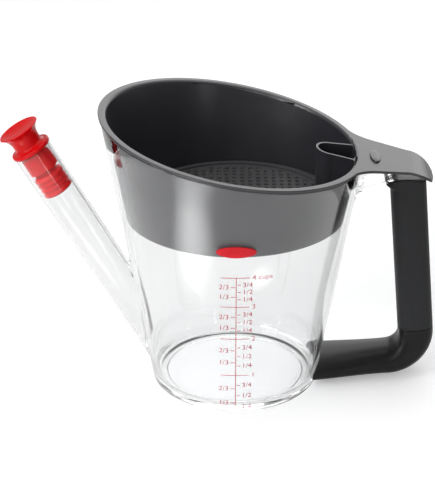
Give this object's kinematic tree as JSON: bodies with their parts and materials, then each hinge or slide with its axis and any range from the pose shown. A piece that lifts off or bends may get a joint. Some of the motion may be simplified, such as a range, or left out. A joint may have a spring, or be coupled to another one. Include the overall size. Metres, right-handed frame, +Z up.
{
  "type": "fat separator jug",
  "caption": "Clear conical measuring jug with a low slanting spout, a side handle, a dark lift-out strainer set at a slant in its mouth, and a pull-out silicone stopper in the spout.",
  "frame": {"origin": "on the jug's axis, at the foot ring's plane on the table", "axes": "+Z up the jug's axis, +X towards the handle, -X towards the spout, -Y towards the side with the measuring scale"},
  "size_m": [0.2553, 0.1536, 0.1726],
  "materials": {
    "clear_plastic": "clear gloss",
    "black_plastic": "soft gloss",
    "soft_grip": "matte",
    "charcoal_plastic": "satin",
    "red_silicone": "satin"
  },
  "bodies": {
    "jug": {"jug_body": "clear_plastic", "spout_tube": "clear_plastic", "handle_bracket": "clear_plastic", "handle_core": "black_plastic", "soft_grip": "soft_grip"},
    "strainer": {"strainer_basket": "charcoal_plastic", "strainer_plate": "charcoal_plastic"},
    "stopper": {"stopper": "red_silicone"}
  },
  "joints": [
    {"name": "strainer_lift", "type": "slide", "parent": "jug", "child": "strainer", "axis": [0, 0, 1], "range_m": [0, 0.075]},
    {"name": "stopper_pull", "type": "slide", "parent": "jug", "child": "stopper", "axis": [-0.5, 0, 0.866], "range_m": [0, 0.045]}
  ]
}
